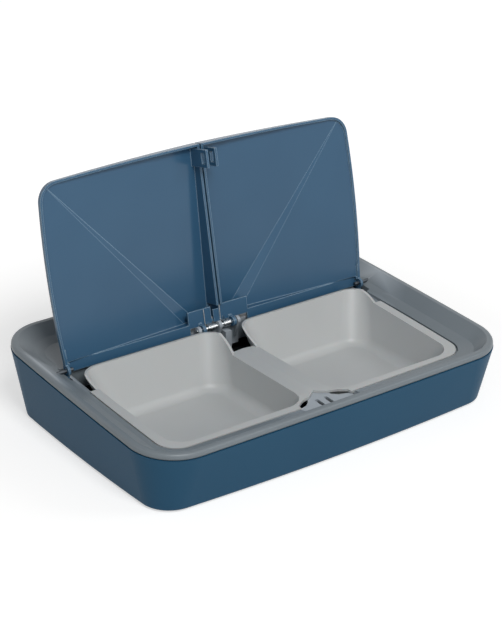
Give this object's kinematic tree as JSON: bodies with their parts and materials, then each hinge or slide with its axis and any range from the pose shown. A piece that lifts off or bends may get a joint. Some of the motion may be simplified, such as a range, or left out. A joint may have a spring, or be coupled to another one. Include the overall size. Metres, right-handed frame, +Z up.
{
  "type": "pet feeder",
  "caption": "Low, wide two-bowl pet feeder with sprung translucent lids that open one after the other by timed latches.",
  "frame": {"origin": "middle of the base on the floor, under the middle of the bounding box", "axes": "+Z up, -Y towards the side the pet eats from, +X to the right across both bowls"},
  "size_m": [0.3228, 0.2264, 0.1905],
  "materials": {
    "base_plastic": "satin moulded slate blue",
    "rim_plastic": "fine-grained moulded grey",
    "tray_plastic": "satin moulded light grey",
    "lid_plastic": "translucent moulded slate blue",
    "bracket_plastic": "moulded grey",
    "inner_plastic": "moulded black",
    "pin_steel": "bright drawn",
    "spring_steel": "bright wire",
    "latch_plastic": "moulded off-white",
    "coil_copper": "enamelled copper wire",
    "window_plastic": "clear moulded",
    "lcd_glass": "grey-green display glass",
    "board_laminate": "green laminate",
    "cell_jacket": "plain dark jacket",
    "button_plastic": "moulded dark grey",
    "foot_rubber": "matt"
  },
  "bodies": {
    "body": {"base_shell": "base_plastic", "batteries": "cell_jacket", "battery_box": "inner_plastic", "battery_contacts": "spring_steel", "case_screws": "pin_steel", "display_window": "window_plastic", "food_tray": "tray_plastic", "hinge_bracket": "bracket_plastic", "hinge_pin": "pin_steel", "latch_chassis": "inner_plastic", "latch_cover": "bracket_plastic", "lcd_panel": "lcd_glass", "left_coil": "coil_copper", "left_lid_spring": "spring_steel", "left_solenoid": "pin_steel", "right_coil": "coil_copper", "right_lid_spring": "spring_steel", "right_solenoid": "pin_steel", "rubber_feet": "foot_rubber", "side_hinge_pins": "pin_steel", "tact_switches": "inner_plastic", "timer_circuit_board": "board_laminate", "top_bezel": "rim_plastic"},
    "left_lid": {"left_lid": "lid_plastic"},
    "right_lid": {"right_lid": "lid_plastic", "seam_tab": "lid_plastic"},
    "left_latch": {"left_latch": "latch_plastic", "left_plunger": "pin_steel"},
    "right_latch": {"right_latch": "latch_plastic", "right_plunger": "pin_steel"},
    "mode_button": {"mode_button": "button_plastic"},
    "set_button": {"set_button": "button_plastic"},
    "hour_button": {"hour_button": "button_plastic"},
    "minute_button": {"minute_button": "button_plastic"},
    "battery_door": {"battery_door": "base_plastic"}
  },
  "joints": [
    {"name": "left_lid_hinge", "type": "hinge", "parent": "body", "child": "left_lid", "pos_m": [0, 0.043, 0.05103], "axis": [1, 0, 0], "range_deg": [0, 104], "stiffness_Nm_per_rad": 0.02, "springref_deg": -28.65, "deforming": ["left_lid_spring"]},
    {"name": "right_lid_hinge", "type": "hinge", "parent": "body", "child": "right_lid", "pos_m": [0, 0.043, 0.05103], "axis": [1, 0, 0], "range_deg": [0, 104], "stiffness_Nm_per_rad": 0.02, "springref_deg": -28.65, "deforming": ["right_lid_spring"]},
    {"name": "left_latch_slide", "type": "slide", "parent": "body", "child": "left_latch", "axis": [1, 0, 0], "range_m": [0, 0.004]},
    {"name": "right_latch_slide", "type": "slide", "parent": "body", "child": "right_latch", "axis": [-1, 0, 0], "range_m": [0, 0.004]},
    {"name": "mode_button_push", "type": "slide", "parent": "body", "child": "mode_button", "axis": [0, 0.0541, -0.9985], "range_m": [0, 0.0008], "stiffness_N_per_m": 250, "springref_m": -0.0006},
    {"name": "set_button_push", "type": "slide", "parent": "body", "child": "set_button", "axis": [0, 0.0541, -0.9985], "range_m": [0, 0.0008], "stiffness_N_per_m": 250, "springref_m": -0.0006},
    {"name": "hour_button_push", "type": "slide", "parent": "body", "child": "hour_button", "axis": [0, 0.0541, -0.9985], "range_m": [0, 0.0008], "stiffness_N_per_m": 250, "springref_m": -0.0006},
    {"name": "minute_button_push", "type": "slide", "parent": "body", "child": "minute_button", "axis": [0, 0.0541, -0.9985], "range_m": [0, 0.0008], "stiffness_N_per_m": 250, "springref_m": -0.0006},
    {"name": "battery_door_slide", "type": "slide", "parent": "body", "child": "battery_door", "axis": [0, -1, 0], "range_m": [0, 0.0078]}
  ]
}
